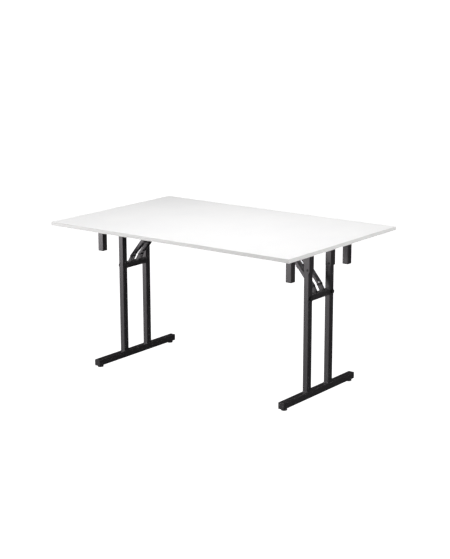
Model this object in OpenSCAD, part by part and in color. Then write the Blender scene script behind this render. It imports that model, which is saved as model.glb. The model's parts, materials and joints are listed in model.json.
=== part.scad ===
// Folding table: a laminated board on two T-shaped leg frames that fold flat under it.
// Millimetres. The origin is on the floor under the middle of the board, +X runs along
// the board and +Z points up. The right frame is at +X and the left frame at -X.

/* [Tabletop] */
// Length of the board with its edge bands
top_length = 1400; // [1350:5:1500]
// Depth of the board with its edge bands
top_depth = 900; // [700:5:1000]
// Thickness of the board
top_thickness = 18; // [16:1:28]
// Height of the work surface above the floor
table_height = 750; // [750:1:760]
// Thickness of the edge bands
edge_band = 2; // [1:0.5:3]

/* [Leg frames] */
// Distance of each leg frame's middle plane from the middle of the table
frame_x = 559; // [555:1:562]
// Width of an upright tube along X
upright_w = 28; // [26:1:28]
// Depth of an upright tube along Y
upright_d = 32; // [28:1:34]
// Distance of each upright's centre from the table's middle plane
upright_y = 89; // [86:1:95]
// Width and height of the foot tube
foot_size = 32; // [30:1:34]
// Length of a foot with its end caps
foot_length = 596; // [500:2:640]
// Underside of the crossbar above the floor
crossbar_z = 471; // [465:1:475]
// Height of the crossbar
crossbar_h = 28; // [24:1:28]
// Rounding of the steel tubes' corners
tube_radius = 3; // [2:0.5:3]
// Wall of the leg tubes
tube_wall = 2; // [1.5:0.5:2]

/* [Glides] */
// Diameter of a levelling glide
glide_d = 30; // [24:1:32]
// Height of a glide when it is screwed right in
glide_h = 9; // [7:0.5:9]
// Distance of a glide's centre from the end of the foot
glide_inset = 25; // [22:1:30]

/* [Fold] */
// Distance of the fold pivots from the middle of the table
pivot_x = 566; // [565:0.5:567]
// Height of the right frame's fold pivot, which folds last and lies lower
pivot_z_right = 620; // [618:1:621]
// Height of the left frame's fold pivot, which folds first and lies higher
pivot_z_left = 657; // [656:1:658]
// Diameter of the fold pivot pins
pivot_d = 8; // [6:1:8]
// Distance of the braces' lower pins from the middle of the table
brace_x = 543; // [542:0.5:544]
// Height of the braces' lower pins
brace_z = 528; // [527:0.5:529]
// Distance of the slide rod from the middle of the table, legs down
slide_x = 390; // [389:0.5:391]
// Height of the slide rod, legs down
slide_z = 714; // [713:0.5:714.5]
// Share of the fold angle that the right braces turn back by
brace_turn_right = 0.38; // [0.37:0.01:0.39]
// Share of the fold angle that the left braces turn back by
brace_turn_left = 0.47; // [0.46:0.01:0.48]

/* [Braces] */
// Width of one brace channel
brace_w = 28; // [26:1:28]
// Depth of one brace channel
brace_h = 15; // [14:0.5:15]
// Gap between the two brace channels of a frame
brace_gap = 32; // [30:1:33]
// Thickness of the brace sheet
brace_t = 2.5; // [2:0.5:2.5]
// Travel of the release handle along the braces
latch_travel = 10; // [9:0.5:10]

/* [Stacking posts] */
// Width of a stacking post
post_size = 32; // [28:1:34]
// Distance of a stacking post's centre from the table's middle plane
post_y = 235; // [200:1:260]
// Height of the posts' lower ends above the floor
post_z = 589; // [585:1:592]

/* [Hidden] */
$fn = 48;

LEFT = -1;
RIGHT = 1;
FRONT = -1;
REAR = 1;

steel_colour = [0.17, 0.16, 0.17];
plastic_colour = [0.09, 0.09, 0.1];
zinc_colour = [0.72, 0.73, 0.75];

// Gap at each butt joint of the edge bands
band_gap = 0.1;

// Heights that follow from the table
underside = table_height - top_thickness;
rail_h = 30;
rail_w = 32;
rail_length = 560;
rail_wall = 1.5;
rail_x = 561;
rail_z = underside - rail_h;
rail_screw_y = [-265, -150, 0, 150, 265];
access_r = 6;

// Wood screws: a pan head under the plate it holds, and a shank with a point
screw_r = 2;
screw_head_r = 4.5;
screw_head_h = 3;
screw_length = 15;
pilot_gap = 0.05;

// Pivot brackets
sheet = 2;
bracket_gap = 0.5;
bracket_out = rail_x + rail_w / 2;
bracket_depth = 30;
bracket_drop = 10;
upright_nose = 8.5;
running = 0.05;
fixed = 0.02;

// Feet and glides
cap_t = 4;
cap_plug = 10;
plug_gap = 0.1;
foot_z = glide_h;
foot_top = foot_z + foot_size;
glide_y = foot_length / 2 - glide_inset;
stem_r = 4;
stem_length = 32;
insert_r = 9;
insert_h = 15;
glide_gap = 0.3;

// Bumpers on the outer faces of the uprights
bumper_r = 10;
bumper_h = 9;
bumper_stem_r = 3.5;

// Brace geometry, seen along +Y with x to the right and z up
lower_pin = [brace_x, brace_z];
upper_pin = [slide_x, slide_z];
brace_run = upper_pin - lower_pin;
brace_length = norm(brace_run);
brace_angle = atan2(brace_run[1], brace_run[0]);
brace_half = brace_h / 2;
ear_r = 8;
head_r = 10;
rod_r = 5;
web_cut = 16;
web_low = 9;
taper_h = 4.5;
taper_from = 40;
taper_to = 56;
lug_t = 3;
lug_gap = 0.5;
lug_base = 2.5;

// Slide guides
guide_t = 3;
guide_y = 46;
slot_gap = 0.3;
guide_margin = 10.5;
guide_steps = 18;
catch_x = 398;
catch_y = -brace_gap / 2 + 0.5;
catch_w = 10;
catch_z = 692;

// Latch, placed by its distance from the slide rod down the brace. The bar runs beside
// the front brace, and the spring lies in a window in it
latch_t = 4;
latch_y = -brace_gap / 2 + 3.1;
latch_half = 7;
latch_gap = 0.5;
latch_top_z = 698;
latch_end = 136;
cross_pin_r = 3;
cross_pin_s = [48, 102];
handle_gap = 0.7;
handle_t = 4.3;
handle_from = 122;
handle_lug_t = 2;
window_end = 84;
window_half = 3.8;
spring_gap = 0.8;
spring_r = 2.4;
spring_wire = 0.6;
spring_turns = 9;

function pivot_z(side) = side == LEFT ? pivot_z_left : pivot_z_right;
function brace_turn(side) = side == LEFT ? brace_turn_left : brace_turn_right;

// Turns a vector in the side view about +Y by a degrees
function turned(v, a) = [v[0] * cos(a) + v[1] * sin(a), v[1] * cos(a) - v[0] * sin(a)];

// The slide rod's place when the leg has folded by a degrees
function rod_at(side, a) =
    let (pivot = [pivot_x, pivot_z(side)])
    pivot + turned(lower_pin - pivot, a) + turned(brace_run, -brace_turn(side) * a);

// The rod's path, and the same path moved sideways by d
function rod_path(side) = [for (i = [0 : guide_steps]) rod_at(side, 90 * i / guide_steps)];
function unit(v) = v / norm(v);
function offset_path(path, d) =
    let (last = len(path) - 1)
    [for (i = [0 : last])
        let (along = unit(path[min(i + 1, last)] - path[max(i - 1, 0)]))
        path[i] + d * [along[1], -along[0]]];
function reversed(list) = [for (i = [len(list) - 1 : -1 : 0]) list[i]];

// Draws the children on the right side, or mirrored onto the left side
module on_side(side) {
    if (side == RIGHT)
        children();
    else
        mirror([1, 0, 0]) children();
}

// Extrudes a side-view outline along Y, from y to y + thick
module slab_y(y, thick) {
    translate([0, y + thick, 0])
        rotate([90, 0, 0])
            linear_extrude(thick) children();
}

// A pin along Y with its centre line at the side-view point p
module pin_y(p, r, y0, y1) {
    translate([p[0], y1, p[1]])
        rotate([90, 0, 0])
            cylinder(r = r, h = y1 - y0);
}

// A rectangle with round corners, centred
module round_rect(w, h, r) {
    square([w - 2 * r, h], center = true);
    square([w, h - 2 * r], center = true);
    for (x = [-1, 1], y = [-1, 1])
        translate([x * (w / 2 - r), y * (h / 2 - r)])
            circle(r);
}

module tube_outline(w, h, r, wall) {
    difference() {
        round_rect(w, h, r);
        round_rect(w - 2 * wall, h - 2 * wall, max(r - wall, 0.5));
    }
}

module wood_screw(x, y, z) {
    translate([x, y, z])
        rotate_extrude()
            polygon([
                [0, -screw_head_h], [screw_head_r * 0.6, -screw_head_h],
                [screw_head_r, -screw_head_h * 0.5], [screw_head_r, 0], [screw_r, 0],
                [screw_r, screw_length - screw_r], [0, screw_length]
            ]);
}

function guide_end_x(side) = rod_at(side, 90)[0];
function guide_screw_x(side) = [guide_end_x(side) + 12, (guide_end_x(side) + catch_x) / 2, catch_x - 18];

// ---- Tabletop ----

module tabletop_board() {
    color("white")
        difference() {
            translate([0, 0, underside + top_thickness / 2])
                cube([top_length - 2 * edge_band, top_depth - 2 * edge_band, top_thickness],
                    center = true);
            for (side = [LEFT, RIGHT]) {
                for (y = rail_screw_y)
                    pilot_hole(side * rail_x, y);
                for (x = guide_screw_x(side))
                    pilot_hole(side * x, 0);
            }
        }
}

module pilot_hole(x, y) {
    translate([x, y, underside - 1])
        cylinder(r = screw_r + pilot_gap, h = screw_length + 1);
}

module edge_bands() {
    color([0.88, 0.88, 0.86])
        for (s = [-1, 1]) {
            translate([0, s * (top_depth - edge_band) / 2, underside + top_thickness / 2])
                cube([top_length, edge_band, top_thickness], center = true);
            translate([s * (top_length - edge_band) / 2, 0, underside + top_thickness / 2])
                cube([edge_band, top_depth - 2 * edge_band - band_gap, top_thickness],
                    center = true);
        }
}

module mounting_rail(side) {
    color(steel_colour)
        on_side(side)
            difference() {
                slab_y(-rail_length / 2, rail_length)
                    translate([rail_x, rail_z + rail_h / 2])
                        tube_outline(rail_w, rail_h, tube_radius, rail_wall);
                for (y = rail_screw_y) {
                    translate([rail_x, y, rail_z - 1])
                        cylinder(r = access_r, h = rail_h / 2);
                    translate([rail_x, y, rail_z + rail_h / 2])
                        cylinder(r = screw_r + pilot_gap, h = rail_h);
                }
            }
}

module wood_screws() {
    color(zinc_colour)
        for (side = [LEFT, RIGHT]) {
            for (y = rail_screw_y)
                wood_screw(side * rail_x, y, underside - rail_wall);
            for (x = guide_screw_x(side))
                wood_screw(side * x, 0, underside - guide_t);
        }
}

module stacking_post(side, end) {
    color(steel_colour)
        translate([side * rail_x, end * post_y, post_z + cap_t])
            linear_extrude(rail_z - post_z - cap_t)
                tube_outline(post_size, post_size, tube_radius, rail_wall);
}

module post_caps() {
    color(plastic_colour)
        for (side = [LEFT, RIGHT], end = [FRONT, REAR])
            translate([side * rail_x, end * post_y, post_z]) {
                linear_extrude(cap_t)
                    round_rect(post_size, post_size, tube_radius);
                translate([0, 0, cap_t])
                    linear_extrude(cap_plug)
                        round_rect(post_size - 2 * rail_wall - plug_gap,
                            post_size - 2 * rail_wall - plug_gap, 1.5);
            }
}

module pivot_bracket(side, end) {
    inner = upright_d + 2 * bracket_gap;
    outer = inner + 2 * sheet;
    foot = pivot_z(side) - bracket_drop;
    back = bracket_out - bracket_depth;
    color(steel_colour)
        on_side(side)
            translate([0, end * upright_y, 0])
                difference() {
                    translate([back, -outer / 2, foot])
                        cube([bracket_depth, outer, rail_z - foot]);
                    translate([back - 1, -inner / 2, foot - 1])
                        cube([bracket_depth - sheet + 1, inner, rail_z - foot + 2]);
                    pin_y([pivot_x, pivot_z(side)], pivot_d / 2 + fixed, -outer, outer);
                }
}

module pivot_pins() {
    reach = upright_d / 2 + bracket_gap + sheet + 0.6;
    color(steel_colour)
        for (side = [LEFT, RIGHT], end = [FRONT, REAR])
            on_side(side)
                translate([0, end * upright_y, 0])
                    pin_y([pivot_x, pivot_z(side)], pivot_d / 2, -reach, reach);
}

// A slide guide: a top plate on the board, two cheeks with the curved slot, and the catch
module slide_guide(side) {
    path = rod_path(side);
    end_x = guide_end_x(side) - guide_margin;
    color(steel_colour)
        on_side(side)
            difference() {
                union() {
                    for (y = [-guide_y - guide_t, guide_y])
                        slab_y(y, guide_t)
                            guide_cheek(path, end_x);
                    translate([end_x, -guide_y - guide_t, underside - guide_t])
                        cube([catch_x + guide_t - end_x, 2 * (guide_y + guide_t), guide_t]);
                    translate([catch_x, catch_y, catch_z])
                        cube([guide_t, catch_w, underside - catch_z]);
                }
                for (x = guide_screw_x(side))
                    translate([x, 0, underside - guide_t - 1])
                        cylinder(r = screw_r + pilot_gap, h = guide_t + 2);
            }
}

module guide_cheek(path, end_x) {
    lower = offset_path(path, -guide_margin);
    last = len(path) - 1;
    difference() {
        union() {
            polygon(concat(lower, [[end_x, path[last][1]], [end_x, underside],
                [catch_x + guide_t, underside], [catch_x + guide_t, path[0][1]]]));
            for (p = [path[0], path[last]])
                translate(p)
                    circle(guide_margin);
        }
        guide_slot(path);
    }
}

module guide_slot(path) {
    half = rod_r + slot_gap;
    polygon(concat(offset_path(path, half), reversed(offset_path(path, -half))));
    for (p = [path[0], path[len(path) - 1]])
        translate(p)
            circle(half);
}

// ---- Leg frames ----

// The side outline that an upright and its bush are cut to, so that the top end clears
// the bracket's web when the frame folds
module upright_side(side, nose, low) {
    top = pivot_z(side);
    translate([frame_x - upright_w, low])
        square([2 * upright_w, top - low]);
    translate([frame_x - upright_w, top - 1])
        square([pivot_x - frame_x + upright_w, nose + 1]);
    translate([pivot_x, top])
        circle(nose);
}

module upright(side, end) {
    top = pivot_z(side) + upright_nose;
    color(steel_colour)
        on_side(side)
            translate([0, end * upright_y, 0])
                difference() {
                    intersection() {
                        translate([frame_x, 0, foot_top])
                            linear_extrude(top - foot_top)
                                tube_outline(upright_w, upright_d, tube_radius, tube_wall);
                        slab_y(-upright_d, 2 * upright_d)
                            upright_side(side, upright_nose, foot_top - 1);
                    }
                    pin_y([pivot_x, pivot_z(side)], pivot_d / 2 + 0.5, -upright_d, upright_d);
                    translate([frame_x, 0, crossbar_z + crossbar_h / 2])
                        rotate([0, 90, 0])
                            cylinder(r = bumper_stem_r + pilot_gap, h = upright_w);
                }
}

module pivot_bushes(side) {
    depth = 26;
    top = pivot_z(side) + upright_nose;
    w = upright_w - 2 * tube_wall - plug_gap;
    d = upright_d - 2 * tube_wall - plug_gap;
    color(plastic_colour)
        on_side(side)
            for (end = [FRONT, REAR])
                translate([0, end * upright_y, 0])
                    difference() {
                        intersection() {
                            translate([frame_x, 0, top - depth])
                                linear_extrude(depth)
                                    round_rect(w, d, 1);
                            slab_y(-upright_d, 2 * upright_d)
                                upright_side(side, upright_nose - 0.3, top - depth - 1);
                        }
                        pin_y([pivot_x, pivot_z(side)], pivot_d / 2 + running,
                            -upright_d, upright_d);
                    }
}

module crossbar(side) {
    inner = upright_y - upright_d / 2;
    color(steel_colour)
        on_side(side)
            slab_y(-inner, 2 * inner)
                translate([frame_x, crossbar_z + crossbar_h / 2])
                    tube_outline(upright_w, crossbar_h, tube_radius, tube_wall);
}

module foot_tube(side) {
    half = foot_length / 2 - cap_t;
    color(steel_colour)
        on_side(side)
            difference() {
                slab_y(-half, 2 * half)
                    translate([frame_x, foot_z + foot_size / 2])
                        tube_outline(foot_size, foot_size, tube_radius, tube_wall);
                for (end = [FRONT, REAR])
                    translate([frame_x, end * glide_y, foot_z - 1])
                        cylinder(r = insert_r, h = foot_size / 2);
            }
}

module foot_caps(side) {
    plug = foot_size - 2 * tube_wall - plug_gap;
    half = foot_length / 2;
    color(plastic_colour)
        on_side(side)
            for (end = [FRONT, REAR]) {
                slab_y(end == FRONT ? -half : half - cap_t, cap_t)
                    translate([frame_x, foot_z + foot_size / 2])
                        round_rect(foot_size, foot_size, tube_radius);
                slab_y(end == FRONT ? -half + cap_t : half - cap_t - cap_plug, cap_plug)
                    translate([frame_x, foot_z + foot_size / 2])
                        round_rect(plug, plug, 1);
            }
}

module bumpers(side) {
    color(plastic_colour)
        on_side(side)
            for (end = [FRONT, REAR])
                translate([frame_x + upright_w / 2, end * upright_y, crossbar_z + crossbar_h / 2])
                    rotate([0, 90, 0])
                        rotate_extrude()
                            polygon([
                                [0, -8], [bumper_stem_r, -8], [bumper_stem_r, 0], [bumper_r - 1, 0],
                                [bumper_r, 1.5], [bumper_r, 6], [bumper_r - 1, 8],
                                [bumper_r - 3, bumper_h], [0, bumper_h]
                            ]);
}

module brace_lugs(side) {
    base_z = crossbar_z + crossbar_h;
    first = brace_gap / 2 + brace_t + lug_gap;
    span = brace_w - 2 * brace_t - 2 * lug_gap;
    color(steel_colour)
        on_side(side)
            for (end = [FRONT, REAR]) {
                low = end == FRONT ? -first - span : first;
                difference() {
                    union() {
                        translate([frame_x - 10, low, base_z])
                            cube([20, span, lug_base]);
                        for (y = [low, low + span - lug_t])
                            slab_y(y, lug_t) {
                                translate(lower_pin)
                                    circle(ear_r);
                                polygon([[frame_x - 10, base_z], [frame_x + 10, base_z],
                                    lower_pin + [7, 3.5], lower_pin + [-7, -3.5]]);
                            }
                    }
                    pin_y(lower_pin, pivot_d / 2 + running, low - 1, low + span + 1);
                }
            }
}

module glide_inserts(side) {
    color(zinc_colour)
        on_side(side)
            for (end = [FRONT, REAR])
                translate([frame_x, end * glide_y, foot_z])
                    difference() {
                        cylinder(r = insert_r, h = insert_h);
                        translate([0, 0, -1])
                            cylinder(r = stem_r + glide_gap, h = insert_h + 2);
                    }
}

// ---- Glides ----

module glide(side, end) {
    r = glide_d / 2;
    color(plastic_colour)
        translate([side * frame_x, end * glide_y, 0])
            rotate_extrude()
                polygon([
                    [0, 0], [r - 1.5, 0], [r, 1.5], [r, 5], [r - 2, glide_h - glide_gap],
                    [stem_r, glide_h - glide_gap], [stem_r, 3], [0, 3]
                ]);
}

module glide_stem(side, end) {
    color(zinc_colour)
        translate([side * frame_x, end * glide_y, 3])
            cylinder(r = stem_r, h = stem_length);
}

// ---- Braces: drawn along their own line, from the lower pin (0) to the slide rod ----

module along_brace() {
    translate(lower_pin)
        rotate(brace_angle)
            children();
}

module brace_flange() {
    difference() {
        union() {
            circle(ear_r);
            translate([brace_length, 0])
                circle(head_r);
            polygon([
                [0, -brace_half], [brace_length, -brace_half], [brace_length, brace_half],
                [taper_to, brace_half], [taper_from, taper_h], [0, taper_h]
            ]);
        }
        circle(pivot_d / 2 + fixed);
        translate([brace_length, 0])
            circle(rod_r + fixed);
        for (s = cross_pin_s)
            translate([brace_length - s, 0])
                circle(cross_pin_r + fixed);
    }
}

module brace(side, end) {
    low = end == FRONT ? -brace_gap / 2 - brace_w : brace_gap / 2;
    color(steel_colour)
        on_side(side)
            union() {
                for (y = [low, low + brace_w - brace_t])
                    slab_y(y, brace_t)
                        along_brace()
                            brace_flange();
                slab_y(low, brace_w)
                    along_brace()
                        translate([web_low, -brace_half])
                            square([brace_length - web_cut - web_low, brace_t]);
            }
}

module slide_rod(side) {
    outer = brace_gap / 2 + brace_w;
    collar = 8;
    color(zinc_colour)
        on_side(side) {
            pin_y(upper_pin, rod_r, -guide_y - guide_t - 3, guide_y + guide_t + 3);
            for (end = [-1, 1]) {
                pin_y(upper_pin, collar, min(end * (outer + 0.2), end * (guide_y - 0.5)),
                    max(end * (outer + 0.2), end * (guide_y - 0.5)));
                pin_y(upper_pin, collar, min(end * (guide_y + guide_t + 0.5), end * (guide_y + guide_t + 3)),
                    max(end * (guide_y + guide_t + 0.5), end * (guide_y + guide_t + 3)));
            }
        }
}

module brace_pins(side) {
    inner = brace_gap / 2;
    outer = inner + brace_w;
    color(steel_colour)
        on_side(side) {
            pin_y(lower_pin, pivot_d / 2, -outer - 0.5, -inner + 0.5);
            pin_y(lower_pin, pivot_d / 2, inner - 0.5, outer + 0.5);
        }
}

module cross_pins(side) {
    reach = brace_gap / 2 + brace_w;
    color(steel_colour)
        on_side(side)
            for (s = cross_pin_s)
                pin_y(upper_pin - s * unit(brace_run), cross_pin_r, -reach, reach);
}

// ---- Latch ----

module latch_bar(side) {
    foot = brace_length - latch_end;
    handle_foot = brace_length - handle_from;
    deep = brace_half + handle_gap;
    color(steel_colour)
        on_side(side)
            slab_y(latch_y - latch_t / 2, latch_t)
                difference() {
                    intersection() {
                        along_brace()
                            polygon([
                                [foot, -latch_half], [brace_length, -latch_half],
                                [brace_length, latch_half], [handle_foot + 4, latch_half],
                                [handle_foot, deep], [foot, deep]
                            ]);
                        translate([catch_x + guide_t + latch_gap, 0])
                            square([slide_x, latch_top_z]);
                    }
                    along_brace() {
                        for (s = cross_pin_s)
                            latch_slot(brace_length - s);
                        translate([brace_length - window_end, -window_half])
                            square([window_end - cross_pin_s[0], 2 * window_half]);
                    }
                }
}

module latch_slot(t) {
    r = cross_pin_r + 0.3;
    translate([t, 0])
        circle(r);
    translate([t + latch_travel, 0])
        circle(r);
    translate([t, -r])
        square([latch_travel, 2 * r]);
}

module latch_handle(side) {
    foot = brace_length - latch_end;
    reach = brace_gap / 2 + brace_w - brace_t - bracket_gap;
    deep = brace_half + handle_gap;
    color(steel_colour)
        on_side(side) {
            slab_y(-reach, 2 * reach)
                along_brace()
                    translate([foot, deep])
                        square([latch_end - handle_from, handle_t]);
            for (y = [-reach, reach - handle_lug_t])
                slab_y(y, handle_lug_t)
                    along_brace()
                        polygon([
                            [foot, -2], [foot + 12, -3], [foot + 26, 0],
                            [foot + 14, deep + handle_t], [foot, deep + handle_t]
                        ]);
        }
}

// An extension spring: a round wire swept along a helix in the latch bar's window
module latch_spring(side) {
    sides = 8;
    rings = 14 * spring_turns;
    from_s = cross_pin_s[0] + cross_pin_r + spring_gap;
    length = window_end - spring_gap - from_s;
    points = [
        for (i = [0 : rings], j = [0 : sides - 1])
            let (a = 360 * spring_turns * i / rings, b = 360 * j / sides)
            let (r = spring_r + spring_wire * cos(b))
            [r * cos(a), r * sin(a), spring_wire + (length - 2 * spring_wire) * i / rings
                + spring_wire * sin(b)]
    ];
    faces = concat(
        [[for (j = [0 : sides - 1]) j]],
        [for (i = [0 : rings - 1], j = [0 : sides - 1])
            let (k = (j + 1) % sides)
            [i * sides + j, (i + 1) * sides + j, (i + 1) * sides + k, i * sides + k]],
        [[for (j = [sides - 1 : -1 : 0]) rings * sides + j]]
    );
    start = upper_pin - from_s * unit(brace_run);
    color(steel_colour)
        on_side(side)
            translate([start[0], latch_y, start[1]])
                rotate([0, -90 - brace_angle, 0])
                    polyhedron(points, faces, convexity = 8);
}

tabletop_board();
edge_bands();
mounting_rail(LEFT);  // mounting_rail_left
mounting_rail(RIGHT);  // mounting_rail_right
wood_screws();
stacking_post(LEFT, FRONT);  // stacking_post_front_left
stacking_post(RIGHT, FRONT);  // stacking_post_front_right
stacking_post(LEFT, REAR);  // stacking_post_rear_left
stacking_post(RIGHT, REAR);  // stacking_post_rear_right
post_caps();
pivot_bracket(LEFT, FRONT);  // pivot_bracket_front_left
pivot_bracket(RIGHT, FRONT);  // pivot_bracket_front_right
pivot_bracket(LEFT, REAR);  // pivot_bracket_rear_left
pivot_bracket(RIGHT, REAR);  // pivot_bracket_rear_right
pivot_pins();
slide_guide(LEFT);  // slide_guide_left
slide_guide(RIGHT);  // slide_guide_right
upright(LEFT, FRONT);  // upright_front_left
upright(LEFT, REAR);  // upright_rear_left
crossbar(LEFT);  // crossbar_left
foot_tube(LEFT);  // foot_tube_left
foot_caps(LEFT);  // foot_caps_left
pivot_bushes(LEFT);  // pivot_bushes_left
bumpers(LEFT);  // bumpers_left
brace_lugs(LEFT);  // brace_lugs_left
glide_inserts(LEFT);  // glide_inserts_left
upright(RIGHT, FRONT);  // upright_front_right
upright(RIGHT, REAR);  // upright_rear_right
crossbar(RIGHT);  // crossbar_right
foot_tube(RIGHT);  // foot_tube_right
foot_caps(RIGHT);  // foot_caps_right
pivot_bushes(RIGHT);  // pivot_bushes_right
bumpers(RIGHT);  // bumpers_right
brace_lugs(RIGHT);  // brace_lugs_right
glide_inserts(RIGHT);  // glide_inserts_right
glide(LEFT, FRONT);  // glide_front_left
glide(LEFT, REAR);  // glide_rear_left
glide(RIGHT, FRONT);  // glide_front_right
glide(RIGHT, REAR);  // glide_rear_right
glide_stem(LEFT, FRONT);  // glide_stem_front_left
glide_stem(LEFT, REAR);  // glide_stem_rear_left
glide_stem(RIGHT, FRONT);  // glide_stem_front_right
glide_stem(RIGHT, REAR);  // glide_stem_rear_right
brace(LEFT, FRONT);  // brace_front_left
brace(LEFT, REAR);  // brace_rear_left
slide_rod(LEFT);  // slide_rod_left
brace_pins(LEFT);  // brace_pins_left
cross_pins(LEFT);  // cross_pins_left
latch_spring(LEFT);  // latch_spring_left
brace(RIGHT, FRONT);  // brace_front_right
brace(RIGHT, REAR);  // brace_rear_right
slide_rod(RIGHT);  // slide_rod_right
brace_pins(RIGHT);  // brace_pins_right
cross_pins(RIGHT);  // cross_pins_right
latch_spring(RIGHT);  // latch_spring_right
latch_bar(LEFT);  // latch_bar_left
latch_handle(LEFT);  // latch_handle_left
latch_bar(RIGHT);  // latch_bar_right
latch_handle(RIGHT);  // latch_handle_right
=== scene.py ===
"""Looks for the folding table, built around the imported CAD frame.

Metres, in the frame's own axes: the origin is on the floor under the middle of the board,
+X runs along the board and +Z points up. CAD nodes keep their shape and get bevels and
materials. Small fittings that CAD only blocks out are replaced by finished ones here.
"""

import json
import math

import bmesh
import bpy
from mathutils import Matrix, Vector

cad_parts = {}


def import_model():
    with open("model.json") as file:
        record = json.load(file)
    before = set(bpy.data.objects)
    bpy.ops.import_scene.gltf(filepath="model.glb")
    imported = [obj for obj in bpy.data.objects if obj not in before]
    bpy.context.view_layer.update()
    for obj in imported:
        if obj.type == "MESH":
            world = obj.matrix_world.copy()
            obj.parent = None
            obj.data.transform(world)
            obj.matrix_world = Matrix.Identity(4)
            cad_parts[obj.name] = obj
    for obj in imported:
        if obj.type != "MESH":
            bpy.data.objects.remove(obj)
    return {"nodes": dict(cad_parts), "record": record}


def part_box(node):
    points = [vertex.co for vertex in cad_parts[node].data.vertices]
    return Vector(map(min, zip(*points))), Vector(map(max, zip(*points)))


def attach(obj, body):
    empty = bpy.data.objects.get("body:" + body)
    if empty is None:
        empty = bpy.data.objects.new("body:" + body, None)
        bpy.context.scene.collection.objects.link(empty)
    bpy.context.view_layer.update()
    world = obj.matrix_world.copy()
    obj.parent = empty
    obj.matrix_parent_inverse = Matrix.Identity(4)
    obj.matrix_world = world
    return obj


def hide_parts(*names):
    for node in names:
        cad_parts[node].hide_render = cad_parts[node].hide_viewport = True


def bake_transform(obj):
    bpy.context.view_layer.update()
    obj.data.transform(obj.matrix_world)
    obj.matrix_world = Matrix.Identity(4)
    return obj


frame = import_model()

bpy.context.view_layer.update()

MM = 0.001
SIDES = ("left", "right")
ENDS = ("front", "rear")
nodes = frame["nodes"]
X, Y, Z = Vector((1, 0, 0)), Vector((0, 1, 0)), Vector((0, 0, 1))


# ---------------------------------------------------------------- reading the frame


def solids_of(node):
    """The (lowest corner, highest corner) of each separate solid in a CAD node."""
    bm = bmesh.new()
    bm.from_mesh(nodes[node].data)
    bmesh.ops.remove_doubles(bm, verts=bm.verts, dist=0.001 * MM)
    seen, boxes = set(), []
    for first in bm.verts:
        if first in seen:
            continue
        seen.add(first)
        group, queue = [], [first]
        while queue:
            vert = queue.pop()
            group.append(vert.co)
            for edge in vert.link_edges:
                other = edge.other_vert(vert)
                if other not in seen:
                    seen.add(other)
                    queue.append(other)
        low = Vector(min(co[i] for co in group) for i in range(3))
        high = Vector(max(co[i] for co in group) for i in range(3))
        boxes.append((low, high))
    bm.free()
    return boxes


# ---------------------------------------------------------------- materials


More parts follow.
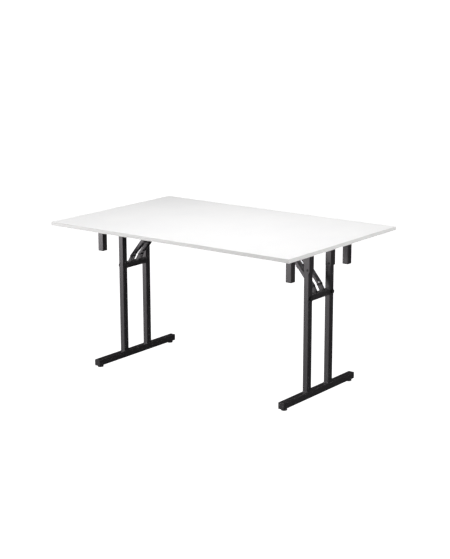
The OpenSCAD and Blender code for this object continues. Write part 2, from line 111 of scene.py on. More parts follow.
class Shader:
    """A Principled material whose colour, roughness and bump come from procedural nodes."""

    def __init__(self, name, roughness, metallic=0.0, specular=0.5, coat=0.0):
        self.material = bpy.data.materials.new(name)
        self.material.use_nodes = True
        self.tree = self.material.node_tree
        self.tree.nodes.clear()
        output = self.node("ShaderNodeOutputMaterial")
        self.bsdf = self.node("ShaderNodeBsdfPrincipled")
        self.link(self.bsdf.outputs["BSDF"], output.inputs["Surface"])
        self.coords = self.node("ShaderNodeTexCoord").outputs["Object"]
        self.bsdf.inputs["Roughness"].default_value = roughness
        self.bsdf.inputs["Metallic"].default_value = metallic
        self.bsdf.inputs["Specular IOR Level"].default_value = specular
        self.bsdf.inputs["Coat Weight"].default_value = coat
        self.bsdf.inputs["Coat Roughness"].default_value = 0.25

    def node(self, kind, **values):
        made = self.tree.nodes.new(kind)
        for key, value in values.items():
            setattr(made, key, value)
        return made

    def link(self, a, b):
        self.tree.links.new(a, b)

    def stretched(self, scale):
        """Object coordinates with each axis scaled on its own."""
        mapping = self.node("ShaderNodeMapping")
        mapping.inputs["Scale"].default_value = scale
        self.link(self.coords, mapping.inputs["Vector"])
        return mapping.outputs["Vector"]

    def noise(self, scale, detail=3.0, coords=None):
        texture = self.node("ShaderNodeTexNoise")
        texture.inputs["Scale"].default_value = scale
        texture.inputs["Detail"].default_value = detail
        self.link(coords or self.coords, texture.inputs["Vector"])
        return texture.outputs["Fac"]

    def voronoi(self, scale):
        texture = self.node("ShaderNodeTexVoronoi", feature="SMOOTH_F1")
        texture.inputs["Scale"].default_value = scale
        self.link(self.coords, texture.inputs["Vector"])
        return texture.outputs["Distance"]

    def spread(self, value, low, high, start=0.3, end=0.7):
        """Maps a noise value onto low to high."""
        ranged = self.node("ShaderNodeMapRange")
        for key, number in (("From Min", start), ("From Max", end), ("To Min", low), ("To Max", high)):
            ranged.inputs[key].default_value = number
        self.link(value, ranged.inputs["Value"])
        return ranged.outputs["Result"]

    def mix(self, factor, first, second):
        """Blends two colours, or sockets, by a factor socket."""
        mixed = self.node("ShaderNodeMix", data_type="RGBA")
        self.link(factor, mixed.inputs["Factor"])
        for socket, value in (("A", first), ("B", second)):
            target = next(s for s in mixed.inputs if s.name == socket and s.type == "RGBA")
            if hasattr(value, "links"):
                self.link(value, target)
            else:
                target.default_value = (*value, 1.0)
        return next(s for s in mixed.outputs if s.type == "RGBA")

    def math(self, operation, first, second):
        """A Math node on two values, each a socket or a number."""
        made = self.node("ShaderNodeMath", operation=operation)
        for socket, value in zip(made.inputs, (first, second)):
            if hasattr(value, "links"):
                self.link(value, socket)
            else:
                socket.default_value = value
        return made.outputs["Value"]

    def worn_and_lit_edges(self, colour, worn_and_lit):
        """Lightens round corners and bevels, where the normal leaves all three axes: partly edge wear,
        partly a painted highlight where the round corners catch the light.
        """
        split = self.node("ShaderNodeSeparateXYZ")
        self.link(self.node("ShaderNodeTexCoord").outputs["Normal"], split.inputs["Vector"])
        x, y, z = (self.math("ABSOLUTE", split.outputs[axis], 0.0) for axis in "XYZ")
        flat = self.math("MAXIMUM", self.math("MAXIMUM", x, y), z)
        edge = self.spread(flat, 1.0, 0.0, 0.8, 0.97)
        patchy = self.spread(self.noise(160.0, 4.0), 0.2, 1.0)
        return self.mix(self.math("MULTIPLY", edge, patchy), colour, worn_and_lit)

    def colour(self, socket):
        self.link(socket, self.bsdf.inputs["Base Color"])

    def roughness(self, socket):
        self.link(socket, self.bsdf.inputs["Roughness"])

    def bump(self, *layers):
        """Adds bump layers, each a (height socket, depth in metres)."""
        normal = None
        for height, depth in layers:
            bump = self.node("ShaderNodeBump")
            bump.inputs["Distance"].default_value = depth
            self.link(height, bump.inputs["Height"])
            if normal:
                self.link(normal, bump.inputs["Normal"])
            normal = bump.outputs["Normal"]
        self.link(normal, self.bsdf.inputs["Normal"])


def laminate():
    """White melamine with a fine pearl texture, and a duller backing sheet underneath."""
    s = Shader("laminate_white", 0.42, specular=0.4)
    white = s.mix(s.spread(s.noise(6.0), 0.0, 1.0), (0.885, 0.885, 0.885), (0.905, 0.905, 0.9))
    facing = s.node("ShaderNodeSeparateXYZ")
    s.link(s.node("ShaderNodeNewGeometry").outputs["Normal"], facing.inputs["Vector"])
    underneath = s.spread(facing.outputs["Z"], 1.0, 0.0, -0.95, -0.8)
    backing = s.mix(s.noise(220.0, 6.0), (0.8, 0.8, 0.79), (0.86, 0.86, 0.85))
    s.colour(s.mix(underneath, white, backing))
    s.roughness(s.spread(s.noise(35.0), 0.38, 0.46))
    s.bump((s.voronoi(900.0), 0.02 * MM), (s.noise(2500.0, 2.0), 0.01 * MM))
    return s.material


def edge_plastic():
    """Extruded ABS edge band: pale grey with faint lines along its length."""
    s = Shader("edge_band_grey", 0.45, specular=0.4)
    lines = s.noise(1.0, 4.0, s.stretched((9.0, 9.0, 2600.0)))
    s.colour(s.mix(s.spread(lines, 0.0, 1.0), (0.7, 0.7, 0.69), (0.76, 0.76, 0.745)))
    s.roughness(s.spread(s.noise(60.0), 0.4, 0.52))
    s.bump((lines, 0.02 * MM), (s.noise(1500.0, 2.0), 0.008 * MM))
    return s.material


def powder_coat(name, shade=1.0, worn_and_lit=True):
    """Satin black powder coat: faint orange peel and specks, and round edges lightened where asked,
    partly as wear and partly as a painted highlight.
    """
    s = Shader(name, 0.34, specular=0.8, coat=0.4)
    # a shade above one lightens the whole coat, which paints in light
    dark, light = (
        tuple(part * shade for part in colour)
        for colour in ((0.0095, 0.0087, 0.0098), (0.0135, 0.0124, 0.0138))
    )
    tone = s.mix(s.spread(s.noise(14.0, 5.0), 0.0, 1.0), dark, light)
    speck = s.spread(s.noise(1400.0, 2.0), 0.0, 0.4, 0.66, 0.76)
    speckled = s.mix(speck, tone, (0.026, 0.024, 0.026))
    # round corners lightened: partly edge wear, partly a painted highlight
    s.colour(s.worn_and_lit_edges(speckled, (0.034, 0.031, 0.033)) if worn_and_lit else speckled)
    s.roughness(s.spread(s.noise(90.0, 4.0), 0.3, 0.38))
    s.bump((s.voronoi(520.0), 0.008 * MM), (s.noise(1900.0, 2.0), 0.004 * MM))
    return s.material


def black_paint():
    """Paint over rivets, pins and springs: darker than the powder coat."""
    s = Shader("rivet_black", 0.32, specular=0.4)
    s.colour(s.mix(s.noise(300.0), (0.006, 0.006, 0.007), (0.014, 0.013, 0.014)))
    s.roughness(s.spread(s.noise(400.0), 0.26, 0.42))
    s.bump((s.noise(900.0, 3.0), 0.03 * MM))
    return s.material


def moulded_plastic():
    """Black polypropylene with a fine spark-eroded grain."""
    s = Shader("plastic_black", 0.5, specular=0.4)
    tone = s.mix(s.spread(s.noise(40.0, 4.0), 0.0, 1.0), (0.02, 0.0195, 0.0205), (0.03, 0.029, 0.03))
    # round corners lightened: partly edge wear, partly a painted highlight
    s.colour(s.worn_and_lit_edges(tone, (0.045, 0.043, 0.045)))
    s.roughness(s.spread(s.noise(150.0, 3.0), 0.42, 0.58))
    s.bump((s.noise(2200.0, 3.0), 0.04 * MM))
    return s.material


def soft_rubber():
    """Matt black rubber with a dusty bloom."""
    s = Shader("rubber_black", 0.8, specular=0.25)
    dust = s.spread(s.noise(180.0, 6.0), 0.0, 1.0, 0.45, 0.75)
    s.colour(s.mix(dust, (0.008, 0.008, 0.0085), (0.022, 0.021, 0.021)))
    s.roughness(s.spread(s.noise(250.0), 0.7, 0.9))
    s.bump((s.noise(3000.0, 2.0), 0.05 * MM))
    return s.material


def zinc_plate():
    """Bright zinc plate: blue-grey spangle with fine drawing lines."""
    s = Shader("zinc_plated", 0.35, metallic=1.0)
    spangle = s.spread(s.noise(240.0, 5.0), 0.0, 1.0)
    s.colour(s.mix(spangle, (0.5, 0.51, 0.53), (0.66, 0.66, 0.67)))
    s.roughness(s.spread(s.noise(420.0, 4.0), 0.26, 0.46))
    s.bump((s.noise(1.0, 3.0, s.stretched((1800.0, 90.0, 1800.0))), 0.02 * MM))
    return s.material


def studio_paint(name, glow):
    """Plain pale studio paint."""
    s = Shader(name, 0.9, specular=0.1)
    s.colour(s.mix(s.noise(1.5, 2.0), (0.93, 0.93, 0.93), (0.95, 0.95, 0.95)))
    s.bsdf.inputs["Emission Color"].default_value = (1.0, 1.0, 1.0, 1.0)
    s.bsdf.inputs["Emission Strength"].default_value = glow
    return s.material


LAMINATE = laminate()
EDGE = edge_plastic()
STEEL = powder_coat("powder_coat_black")
# painted light: the braces' coat is three times lighter than the frames' coat, to offset the shade
# under the board
BRACE_COAT_PAINTED_LIGHT = powder_coat("powder_coat_brace_painted_light", shade=3.0, worn_and_lit=False)
RIVET = black_paint()
PLASTIC = moulded_plastic()
RUBBER = soft_rubber()
ZINC = zinc_plate()

FINISH = {
    "white_laminate": LAMINATE,
    "edge_band": EDGE,
    "black_steel": STEEL,
    "black_plastic": PLASTIC,
    "black_rubber": RUBBER,
    "zinc_steel": ZINC,
}


# ---------------------------------------------------------------- mesh helpers


def finished(name, bm, body, slot, material=None, sharp=38):
    """Turns a bmesh into a smooth-shaded piece that rides on a CAD body."""
    bmesh.ops.recalc_face_normals(bm, faces=bm.faces)
    mesh = bpy.data.meshes.new(name)
    bm.to_mesh(mesh)
    bm.free()
    mesh.polygons.foreach_set("use_smooth", [True] * len(mesh.polygons))
    mesh.set_sharp_from_angle(angle=math.radians(sharp))
    mesh.materials.append(material or FINISH[slot])
    piece = bpy.data.objects.new(name, mesh)
    bpy.context.scene.collection.objects.link(piece)
    if body:
        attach(piece, body)
    return piece


def placed(origin, axis, start=None):
    """A matrix that puts local Z along axis, and local X near start, at origin."""
    up = axis.normalized()
    side = start or (X if abs(up.x) < 0.9 else Y)
    side = (side - up * side.dot(up)).normalized()
    return Matrix.Translation(origin) @ Matrix((side, up.cross(side), up)).transposed().to_4x4()


def ring(bm, matrix, radius, height, sides, wave=None):
    """One ring of vertices, or a single vertex on the axis."""
    if radius < 1e-7:
        return [bm.verts.new(matrix @ Vector((0, 0, height)))]
    made = []
    for i in range(sides):
        angle = math.tau * i / sides
        r = radius + (wave(angle) if wave else 0.0)
        made.append(bm.verts.new(matrix @ Vector((r * math.cos(angle), r * math.sin(angle), height))))
    return made


def joined(bm, a, b):
    """Faces between two rings, of which one may be a single vertex."""
    count = max(len(a), len(b))
    for i in range(count):
        j = (i + 1) % count
        if len(a) == 1:
            bm.faces.new((a[0], b[j], b[i]))
        elif len(b) == 1:
            bm.faces.new((a[i], a[j], b[0]))
        else:
            bm.faces.new((a[i], a[j], b[j], b[i]))


def revolve(bm, profile, matrix, sides=40, waves=None):
    """Turns a profile of (radius, height) about local Z. waves gives a ripple per profile point."""
    rings = [
        ring(bm, matrix, r, h, sides, (waves or {}).get(i)) for i, (r, h) in enumerate(profile)
    ]
    for a, b in zip(rings, rings[1:]):
        joined(bm, a, b)


def sweep(bm, path, radius, normal, sides=8, closed=False):
    """Sweeps a round section along a path. radius is a length, or a function of the step."""
    rings = []
    last = len(path) - 1
    for i, point in enumerate(path):
        before = path[i - 1] if closed else path[max(i - 1, 0)]
        after = path[(i + 1) % len(path)] if closed else path[min(i + 1, last)]
        along = (after - before).normalized()
        out = (normal - along * normal.dot(along)).normalized()
        side = along.cross(out)
        r = radius(i) if callable(radius) else radius
        rings.append([
            bm.verts.new(point + r * (out * math.cos(a) + side * math.sin(a)))
            for a in (math.tau * k / sides for k in range(sides))
        ])
    for a, b in zip(rings, rings[1:]):
        joined(bm, a, b)
    if closed:
        joined(bm, rings[-1], rings[0])
    else:
        bm.faces.new(rings[0])
        bm.faces.new(rings[-1])


def spaced(points, step, closed=True):
    """Points at an even step along straight stretches."""
    path = []
    ends = points[1:] + (points[:1] if closed else [])
    for a, b in zip(points, ends):
        count = max(1, round((b - a).length / step))
        path += [a.lerp(b, k / count) for k in range(count)]
    return path if closed else path + [points[-1]]


def rounded_loop(centre, u, v, width, height, corner):
    """A rectangle with round corners in the plane of u and v."""
    points = []
    for su, sv, turn in ((1, 1, 0), (-1, 1, 90), (-1, -1, 180), (1, -1, 270)):
        middle = centre + u * su * (width / 2 - corner) + v * sv * (height / 2 - corner)
        for k in range(5):
            a = math.radians(turn + 22.5 * k)
            points.append(middle + corner * (u * math.cos(a) + v * math.sin(a)))
    return points


def weld_bead(bm, path, normal, closed=True, size=1.7 * MM):
    """A fillet weld: a bead whose ripples overlap every few millimetres."""
    step = 0.55 * MM
    line = spaced(path, step, closed)
    ripple = 2.2 * MM
    thin, swell, drift = 0.86, 0.16, 0.03

    def bead(i):
        pulse = abs(math.sin(math.pi * i * step / ripple))
        return size * (thin + swell * pulse + drift * math.sin(i * 0.37))

    sweep(bm, line, bead, normal, sides=7, closed=closed)


def carved(piece, cutter):
    """Cuts a closed mesh out of a piece and keeps the result as its mesh."""
    modifier = piece.modifiers.new("cut", "BOOLEAN")
    modifier.object = cutter
    modifier.solver = "EXACT"
    evaluated = piece.evaluated_get(bpy.context.evaluated_depsgraph_get())
    mesh = bpy.data.meshes.new_from_object(evaluated)
    piece.modifiers.clear()
    piece.data = mesh
    bpy.data.objects.remove(cutter)
    return piece


def softened(node, width, segments=2, angle=40):
    """Rounds the sharp edges of a CAD node with modifiers only, and smooths its shading."""
    obj = nodes[node]
    obj.data.polygons.foreach_set("use_smooth", [True] * len(obj.data.polygons))
    weld = obj.modifiers.new("join", "WELD")
    weld.merge_threshold = 0.001 * MM
    flats = obj.modifiers.new("flats", "DECIMATE")
    flats.decimate_type = "DISSOLVE"
    flats.angle_limit = math.radians(1)
    bevel = obj.modifiers.new("edge", "BEVEL")
    bevel.width = width
    bevel.segments = segments
    bevel.limit_method = "ANGLE"
    bevel.angle_limit = math.radians(angle)
    bevel.use_clamp_overlap = False
    bevel.miter_outer = "MITER_ARC"
    normals = obj.modifiers.new("shade", "WEIGHTED_NORMAL")
    normals.weight = 80
    normals.keep_sharp = True


# ---------------------------------------------------------------- finishes on CAD nodes

SLOT_OF = {part["node"]: part["material_slot"] for part in frame["record"]["subparts"]}
BEVEL = {
    "tabletop_board": 0.15,
    "edge_bands": 0.7,
    "mounting_rail": 0.25,
    "stacking_post": 0.25,
    "post_caps": 1.0,
    "pivot_bracket": 0.5,
    "slide_guide": 0.35,
    "upright": 0.2,
    "crossbar": 0.2,
    "foot_tube": 0.25,
    "foot_caps": 1.2,
    "brace_lugs": 0.4,
    "brace": 0.4,
    "latch_bar": 0.35,
    "latch_handle": 0.6,
    "slide_rod": 0.4,
    "cross_pins": 0.3,
    "brace_pins": 0.3,
    "glide_inserts": 0.4,
}


def dress_cad_nodes():
    """Gives every carried-over CAD node its material, and most of them soft edges."""
    for name, obj in nodes.items():
        obj.data.materials.clear()
        obj.data.materials.append(FINISH[SLOT_OF[name]])
        matches = [key for key in BEVEL if name.startswith(key)]
        if matches:
            softened(name, BEVEL[max(matches, key=len)] * MM)
        if "_pins" in name:
            obj.data.materials[0] = RIVET
        # the braces and the latch get the three times lighter coat: painted light against the shade
        # under the board
        if name.startswith(("brace_front", "brace_rear", "latch_bar", "latch_handle")):
            obj.data.materials[0] = BRACE_COAT_PAINTED_LIGHT


# ---------------------------------------------------------------- welds


def frame_welds(side):
    """Beads at the feet of both uprights, at the crossbar's ends and round the lug plates."""
    bm = bmesh.new()
    foot_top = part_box(f"foot_tube_{side}")[1].z
    bar_low, bar_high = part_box(f"crossbar_{side}")
    for end in ENDS:
        low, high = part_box(f"upright_{end}_{side}")
        centre = (low + high) / 2
        width, depth = high.x - low.x, high.y - low.y
        base = Vector((centre.x, centre.y, foot_top))
        weld_bead(bm, rounded_loop(base, X, Y, width, depth, 3 * MM), Z)
        near = low.y if centre.y > 0 else high.y
        joint = Vector((centre.x, near, (bar_low.z + bar_high.z) / 2))
        loop = rounded_loop(joint, X, Z, width, bar_high.z - bar_low.z, 3 * MM)
        weld_bead(bm, loop, Y, size=1.4 * MM)
    for low, high in solids_of(f"brace_lugs_{side}"):
        for x in (bar_low.x + 4 * MM, bar_high.x - 4 * MM):
            line = [Vector((x, low.y + 1 * MM, low.z)), Vector((x, high.y - 1 * MM, low.z))]
            weld_bead(bm, line, Z, closed=False, size=1.2 * MM)
    return finished(f"frame_welds_{side}", bm, f"leg_frame_{side}", "black_steel")


def rail_welds(side):
    """Beads where the posts and the pivot brackets meet the rail."""
    bm = bmesh.new()
    rail_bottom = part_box(f"mounting_rail_{side}")[0].z
    for end in ENDS:
        for part, corner in (("stacking_post", 3), ("pivot_bracket", 1)):
            low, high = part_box(f"{part}_{end}_{side}")
            middle = Vector(((low.x + high.x) / 2, (low.y + high.y) / 2, rail_bottom))
            loop = rounded_loop(middle, X, Y, high.x - low.x, high.y - low.y, corner * MM)
            if part == "stacking_post":
                weld_bead(bm, loop, Z, size=1.4 * MM)
                continue
            for y in (low.y, high.y):
                line = [
                    Vector((low.x + 2 * MM, y, rail_bottom)),
                    Vector((high.x - 3 * MM, y, rail_bottom)),
                ]
                weld_bead(bm, line, Z, closed=False, size=1.4 * MM)
    return finished(f"rail_welds_{side}", bm, "tabletop", "black_steel")


# ---------------------------------------------------------------- rivets and screws


def dome(bm, origin, axis, radius, height):
    """A snap rivet head with a flat rim."""
    profile = [(0, 0), (radius, 0), (radius, height * 0.3)]
    profile += [
        (radius * math.cos(a), height * (0.3 + 0.7 * math.sin(a)))
        for a in (math.radians(15 * k) for k in range(1, 6))
    ]
    revolve(bm, profile + [(0, height)], placed(origin, axis), 32)


def rivet_heads(name, node, body, radius, height, sink):
    """A head on each end of every pin in a node. sink is how far the pin stands out."""
    bm = bmesh.new()
    for low, high in solids_of(node):
        middle = (low + high) / 2
        for y, way in ((low.y + sink, -1), (high.y - sink, 1)):
            dome(bm, Vector((middle.x, y, middle.z)), Y * way, radius, height)
    return finished(name, bm, body, "black_steel", RIVET)


def screw_cutter():
    """A cross-shaped driver recess, one screw at the origin with its head facing -Z."""
    bm = bmesh.new()
    half, arm, deep = 0.45 * MM, 2.1 * MM, 1.7 * MM
    for turn in (0, 90):
        spin = Matrix.Rotation(math.radians(turn), 4, "Z")
        rings = []
        for share, z in ((1.0, -1 * MM), (0.45, deep)):
            rings.append([
                bm.verts.new(spin @ Vector((x * arm * share, y * half, z)))
                for x, y in ((-1, -1), (1, -1), (1, 1), (-1, 1))
            ])
        joined(bm, *rings)
        bm.faces.new(rings[0])
        bm.faces.new(rings[1])
    bmesh.ops.recalc_face_normals(bm, faces=bm.faces)
    mesh = bpy.data.meshes.new("recess")
    bm.to_mesh(mesh)
    bm.free()
    cutter = bpy.data.objects.new("recess", mesh)
    bpy.context.scene.collection.objects.link(cutter)
    return cutter


def one_screw(length):
    """A pan-head wood screw with its thread, head at z = 0 and point up."""
    bm = bmesh.new()
    head, shank, head_h = 4.5 * MM, 1.75 * MM, 3 * MM
    profile = [(0, 0), (head * 0.62, 0)]
    profile += [
        (head * (0.62 + 0.38 * math.sin(a)), head_h * 0.6 * (1 - math.cos(a)))
        for a in (math.radians(18 * k) for k in range(1, 6))
    ]
    revolve(bm, profile + [(head, head_h), (shank, head_h), (shank, length - 3 * MM), (0, length)],
            Matrix.Identity(4), 32)
    pitch, turns = 1.8 * MM, 6
    start = head_h + 1 * MM
    path = []
    for k in range(turns * 16 + 1):
        a = math.tau * k / 16
        path.append(Vector((shank * math.cos(a), shank * math.sin(a), start + pitch * k / 16)))
    sweep(bm, path, 0.25 * MM, Z, sides=4)
    piece = finished("wood_screw_pattern", bm, None, "zinc_steel")
    return carved(piece, screw_cutter())


def wood_screws():
    """All wood screws as one piece, standing for the CAD node."""
    boxes = solids_of("wood_screws")
    low, high = boxes[0]
    pattern = one_screw(high.z - low.z)
    bm = bmesh.new()
    for index, (low, high) in enumerate(boxes):
        middle = (low + high) / 2
        turn = Matrix.Rotation(0.7 * index, 4, "Z")
        copy = pattern.data.copy()
        copy.transform(Matrix.Translation((middle.x, middle.y, low.z)) @ turn)
        bm.from_mesh(copy)
        bpy.data.meshes.remove(copy)
    bpy.data.objects.remove(pattern)
    piece = finished("wood_screws_finished", bm, "tabletop", "zinc_steel")
    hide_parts("wood_screws")


# ---------------------------------------------------------------- rubber and plastic fittings


def bumpers(side):
    """Turned rubber bumpers with a rim, a groove and a dished face."""
    bm = bmesh.new()
    away = X if side == "right" else -X
    for low, high in solids_of(f"bumpers_{side}"):
        middle = (low + high) / 2
        tall = 9 * MM
        radius = (high.z - low.z) / 2
        base = (high.x if side == "right" else low.x) - away.x * tall
        profile = [(0, -8), (3.5, -8), (3.5, 0), (8.8, 0), (9.6, 0.5), (10, 1.4), (10, 3.6),
                   (9.5, 4.0), (9.5, 4.6), (10, 5.0), (10, 6.2)]
        profile += [
            (7.2 + 2.8 * math.cos(a), 6.2 + 2.8 * math.sin(a))
            for a in (math.radians(18 * k) for k in range(1, 6))
        ]
        profile += [(5.6, 8.95), (4.8, 8.3), (2.0, 8.0), (0, 8.0)]
        scale = radius / 10
        revolve(bm, [(r * scale, h * MM) for r, h in profile],
                placed(Vector((base, middle.y, middle.z)), away), 40)
    piece = finished(f"bumpers_turned_{side}", bm, f"leg_frame_{side}", "black_rubber")
    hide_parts(f"bumpers_{side}")


def glide(end, side):
    """A levelling glide with grip flutes round its rim and a stepped recess in its sole."""
    name = f"glide_{end}_{side}"
    low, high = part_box(name)
    middle = (low + high) / 2
    radius, top = (high.x - low.x) / 2, high.z - low.z
    bm = bmesh.new()
    flutes = 28

    def wave(angle):
        return -0.35 * MM * (0.5 + 0.5 * math.cos(flutes * angle))

    profile = [(0, 0.6 * MM), (5 * MM, 0.6 * MM), (5.6 * MM, 0), (radius - 1.8 * MM, 0),
               (radius - 0.8 * MM, 0.3 * MM), (radius - 0.1 * MM, 1.2 * MM), (radius, 1.8 * MM),
               (radius, top - 3.4 * MM), (radius - 0.5 * MM, top - 2.4 * MM),
               (radius - 2.2 * MM, top - 0.2 * MM), (radius - 2.8 * MM, top),
               (5.4 * MM, top), (5.0 * MM, top - 0.4 * MM), (4.05 * MM, top - 0.4 * MM),
               (4.05 * MM, 3 * MM), (0, 3 * MM)]
    base = Vector((middle.x, middle.y, low.z))
    revolve(bm, profile, placed(base, Z), 168, waves={6: wave, 7: wave})
    piece = finished(f"glide_fluted_{end}_{side}", bm, name, "black_plastic")
    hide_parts(name)


def threaded_stem(end, side):
    """The glide's M8 stem, with a real helical thread."""
    name = f"glide_stem_{end}_{side}"
    low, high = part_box(name)
    middle = (low + high) / 2
    radius, length = (high.x - low.x) / 2, high.z - low.z
    pitch, depth, sides, per_turn = 1.25 * MM, 0.55 * MM, 24, 8
    bm = bmesh.new()
    matrix = placed(Vector((middle.x, middle.y, low.z)), Z)
    steps = int(length / pitch * per_turn)
    rings = []
    for k in range(steps + 1):
        height = length * k / steps

        def wave(angle, height=height):
            phase = (height / pitch - angle / math.tau) % 1.0
            edge = min(height, length - height)
            taper = min(1.0, edge / (1.0 * MM))
            return -depth * (abs(2 * phase - 1) * 0.9 * taper + (1 - taper) * 0.9)

        rings.append(ring(bm, matrix, radius, height, sides, wave))
    for a, b in zip(rings, rings[1:]):
        joined(bm, a, b)
    bm.faces.new(rings[0])
    bm.faces.new(rings[-1])
    piece = finished(f"glide_thread_{end}_{side}", bm, f"glide_{end}_{side}", "zinc_steel", sharp=60)
    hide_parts(name)


# ---------------------------------------------------------------- braces and latch


def brace_line(side):
    """The slide rod's centre and the direction from it to the lower pins."""
    rod_low, rod_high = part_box(f"slide_rod_{side}")
    pin_low, pin_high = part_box(f"brace_pins_{side}")
    rod, pin = (rod_low + rod_high) / 2, (pin_low + pin_high) / 2
    rod.y = pin.y = 0
    return rod, (pin - rod).normalized()


def latch_spring(side):
    """An extension spring in the latch bar's window, hooked over the cross pin and into the bar."""
    rod, down = brace_line(side)
    across = Y.cross(down).normalized()
    low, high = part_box(f"latch_spring_{side}")
    middle = Y * (low.y + high.y) / 2
    wire, turns, steps = 0.45 * MM, 14, 20
    coil = (high.y - low.y) / 2 - wire - 0.1 * MM
    # distances from the slide rod: the cross pin, the first coil and the last one
    pin_at, first, last = 48 * MM, 54.5 * MM, 80 * MM
    beside = middle + Y * coil
    loop = 3.5 * MM
    path = []
    hook_start, hook_step, hook_points = -60, 27.5, 9
    for k in range(hook_points):
        a = math.radians(hook_start + hook_step * k)
        path.append(rod + beside + down * (pin_at - loop * math.cos(a)) - across * loop * math.sin(a))
    path.append(rod + beside + down * (first - 1.5 * MM))
    for k in range(turns * steps + 1):
        a = math.tau * k / steps
        s = first + (last - first) * k / (turns * steps)
        path.append(rod + middle + down * s + coil * (Y * math.cos(a) + across * math.sin(a)))
    for s, y in ((1.2, 1.0), (2.6, 0.7), (3.6, 0.1), (4.4, 0.0)):
        path.append(rod + middle + down * (last + s * MM) + Y * coil * y)
    bm = bmesh.new()
    sweep(bm, path, wire, down + across * 0.01, sides=8)
    piece = finished(f"latch_spring_coil_{side}", bm, None, "black_steel", RIVET, sharp=70)
    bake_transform(piece)
    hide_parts(f"latch_spring_{side}")


def latch_grips(side):
    """Finger ribs pressed into the outer face of the release handle."""
    rod, down = brace_line(side)
    out = Y.cross(down).normalized()
    if out.z > 0:
        out = -out
    bm = bmesh.new()
    face = 12.5 * MM
    for s in (125.5 * MM, 129 * MM, 132.5 * MM):
        centre = rod + down * s + out * face
        line = [centre + Y * y * MM for y in (-36, 36)]
        sweep(bm, spaced(line, 2 * MM, closed=False), 0.7 * MM, out, sides=10)
    return finished(f"latch_grips_{side}", bm, f"latch_{side}", "black_steel")


# ---------------------------------------------------------------- building


def build():
    """Dresses the CAD nodes, then makes every finished piece."""
    dress_cad_nodes()
    wood_screws()
    rivet_heads("pivot_rivet_heads", "pivot_pins", "tabletop",
                radius=5.5 * MM, height=1.6 * MM, sink=0.6 * MM)
    for side in SIDES:
        frame_welds(side)
        rail_welds(side)
        bumpers(side)
        rivet_heads(f"brace_rivet_heads_{side}", f"brace_pins_{side}", f"brace_{side}",
                    radius=6 * MM, height=1.3 * MM, sink=0.5 * MM)
        rivet_heads(f"cross_rivet_heads_{side}", f"cross_pins_{side}", f"brace_{side}",
                    radius=4.2 * MM, height=0.9 * MM, sink=0)
        latch_spring(side)
        latch_grips(side)
        for end in ENDS:
            glide(end, side)
            threaded_stem(end, side)


build()


# ---------------------------------------------------------------- stage

# light that the floor gives off itself, beyond what it bounces
FLOOR_GLOW = 0.2


def staged(name, bm, material):
    """A mesh of the studio, which isn't part of the object."""
    mesh = bpy.data.meshes.new(name)
    bm.to_mesh(mesh)
    bm.free()
    mesh.materials.append(material)
    surface = bpy.data.objects.new(name, mesh)
    bpy.context.scene.collection.objects.link(surface)
    surface.visible_glossy = False
    return surface


def floor():
    """A pale floor that bounces light. The camera sees the white dome through it, so that no
    shadow shows and the table can be seen from below."""
    bm = bmesh.new()
    bmesh.ops.create_grid(bm, x_segments=8, y_segments=8, size=55)
    surface = staged("studio_floor", bm, studio_paint("studio_floor", FLOOR_GLOW))
    surface.visible_camera = False


def backdrop():
    """A white dome far round the table, seen by the camera alone."""
    bm = bmesh.new()
    bmesh.ops.create_icosphere(bm, subdivisions=4, radius=60)
    dome_surface = staged("studio_backdrop", bm, studio_paint("studio_backdrop", 1.0))
    dome_surface.visible_diffuse = dome_surface.visible_shadow = False


# name, place, target, width, height, watts, and what sees it: "all", "matt" or "gloss"
LIGHTS = (
    ("overhead", (0.2, -0.3, 2.9), (0.1, 0.0, 0.75), 1.8, 1.8, 60, "all"),
    ("key", (-2.4, -3.0, 1.6), (-0.4, 0.0, 0.6), 1.6, 1.6, 56, "matt"),
    ("right_side", (3.2, 0.5, 1.5), (0.4, 0.0, 0.65), 2.2, 2.2, 46, "all"),
    ("card_high", (-1.8, -2.4, 0.75), (0.0, 0.0, 0.6), 3.2, 0.5, 34, "gloss"),
    ("card_low", (-1.8, -2.4, 0.28), (0.0, 0.0, 0.4), 3.2, 0.4, 9, "gloss"),
)
CARD_TINT = (1.0, 0.955, 0.985)
# the direction, strength and narrowness of the world's glow, over an even ambient light
FRONT_LEFT = Vector((-0.6, -0.78, -0.1)).normalized()
AMBIENT, FRONT_GLOW, GLOW_POWER = 0.06, 0.76, 6.0


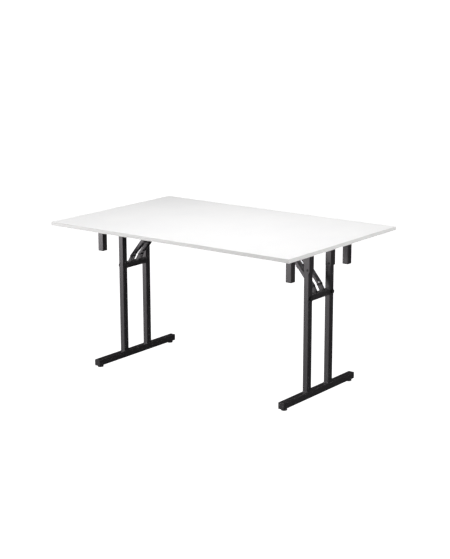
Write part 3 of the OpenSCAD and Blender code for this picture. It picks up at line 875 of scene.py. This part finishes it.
def lights():
    """The area lights of LIGHTS, which the camera doesn't see."""
    for name, place, target, width, height, watts, seen in LIGHTS:
        data = bpy.data.lights.new(name, "AREA")
        data.shape = "RECTANGLE"
        data.size, data.size_y = width, height
        data.energy = watts
        data.color = CARD_TINT if seen == "gloss" else (1.0, 1.0, 1.0)
        lamp = bpy.data.objects.new(name, data)
        bpy.context.scene.collection.objects.link(lamp)
        lamp.location = place
        lamp.rotation_euler = (Vector(target) - Vector(place)).to_track_quat("-Z", "Y").to_euler()
        lamp.visible_camera = False
        lamp.visible_diffuse = seen != "gloss"
        lamp.visible_glossy = seen != "matt"


def world():
    """Weak light from all round, and a broad glow from the front left."""
    room = bpy.data.worlds.new("studio")
    bpy.context.scene.world = room
    room.use_nodes = True
    tree = room.node_tree
    background = tree.nodes["Background"]
    background.inputs["Color"].default_value = (*CARD_TINT, 1.0)
    coords = tree.nodes.new("ShaderNodeTexCoord")
    facing = tree.nodes.new("ShaderNodeVectorMath")
    facing.operation = "DOT_PRODUCT"
    facing.inputs[1].default_value = FRONT_LEFT
    tree.links.new(coords.outputs["Generated"], facing.inputs[0])
    value = facing.outputs["Value"]
    steps = (
        ("MAXIMUM", 0.0),
        ("POWER", GLOW_POWER),
        ("MULTIPLY", FRONT_GLOW),
        ("ADD", AMBIENT),
    )
    for operation, number in steps:
        step = tree.nodes.new("ShaderNodeMath")
        step.operation = operation
        step.inputs[1].default_value = number
        tree.links.new(value, step.inputs[0])
        value = step.outputs["Value"]
    tree.links.new(value, background.inputs["Strength"])


def camera():
    """Fitted to the photograph: place, turn to the left of +Y, tilt down and roll."""
    data = bpy.data.cameras.new("camera")
    data.lens = 88.48
    data.sensor_width = 36
    data.clip_end = 400
    eye = bpy.data.objects.new("camera", data)
    bpy.context.scene.collection.objects.link(eye)
    turn, tilt, roll = (math.radians(a) for a in (37.207, -13.526, -0.125))
    eye.rotation_mode = "QUATERNION"
    eye.rotation_quaternion = (
        Matrix.Rotation(turn, 3, "Z")
        @ Matrix.Rotation(math.pi / 2 + tilt, 3, "X")
        @ Matrix.Rotation(roll, 3, "Z")
    ).to_quaternion()
    eye.location = (3.9264, -5.1492, 2.0334)
    bpy.context.scene.camera = eye


floor()
backdrop()
lights()
world()
bpy.context.scene.view_settings.view_transform = "Standard"
camera()

bpy.context.view_layer.update()
